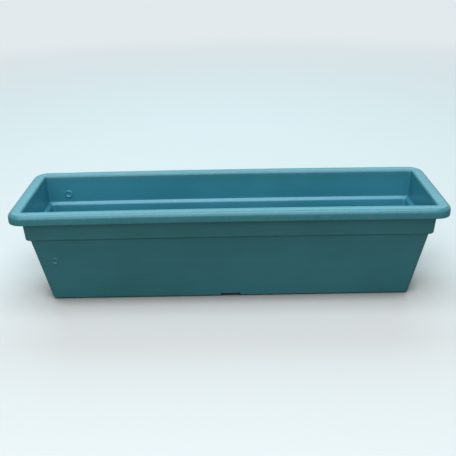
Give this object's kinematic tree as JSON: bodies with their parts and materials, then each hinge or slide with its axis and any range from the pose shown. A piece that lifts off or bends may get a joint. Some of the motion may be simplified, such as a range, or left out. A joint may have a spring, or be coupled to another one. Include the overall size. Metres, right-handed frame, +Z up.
{
  "type": "window box planter",
  "caption": "Long plastic window box trough with a rolled rim, a stepped collar, tapered walls, a raised floor on a foot, and drain plugs that pull out.",
  "frame": {"origin": "centre of the base, on the surface that the box stands on", "axes": "+X along the box to the right as seen from the front, +Y from the front to the back, +Z up"},
  "size_m": [0.6, 0.178, 0.1495],
  "materials": {
    "trough_plastic": "semi-matt moulded polypropylene, dark green",
    "plug_plastic": "matt soft polyethylene, near black"
  },
  "bodies": {
    "trough": {"trough": "trough_plastic"},
    "drain_plug_1": {"drain_plug_1": "plug_plastic"},
    "drain_plug_2": {"drain_plug_2": "plug_plastic"},
    "drain_plug_3": {"drain_plug_3": "plug_plastic"},
    "drain_plug_4": {"drain_plug_4": "plug_plastic"},
    "drain_plug_5": {"drain_plug_5": "plug_plastic"},
    "drain_plug_6": {"drain_plug_6": "plug_plastic"}
  },
  "joints": [
    {"name": "drain_plug_1_pull", "type": "slide", "parent": "trough", "child": "drain_plug_1", "axis": [0, 0, 1], "range_m": [0, 0.15]},
    {"name": "drain_plug_2_pull", "type": "slide", "parent": "trough", "child": "drain_plug_2", "axis": [0, 0, 1], "range_m": [0, 0.15]},
    {"name": "drain_plug_3_pull", "type": "slide", "parent": "trough", "child": "drain_plug_3", "axis": [0, 0, 1], "range_m": [0, 0.15]},
    {"name": "drain_plug_4_pull", "type": "slide", "parent": "trough", "child": "drain_plug_4", "axis": [0, 0, 1], "range_m": [0, 0.15]},
    {"name": "drain_plug_5_pull", "type": "slide", "parent": "trough", "child": "drain_plug_5", "axis": [0, 0, 1], "range_m": [0, 0.15]},
    {"name": "drain_plug_6_pull", "type": "slide", "parent": "trough", "child": "drain_plug_6", "axis": [0, 0, 1], "range_m": [0, 0.15]}
  ]
}
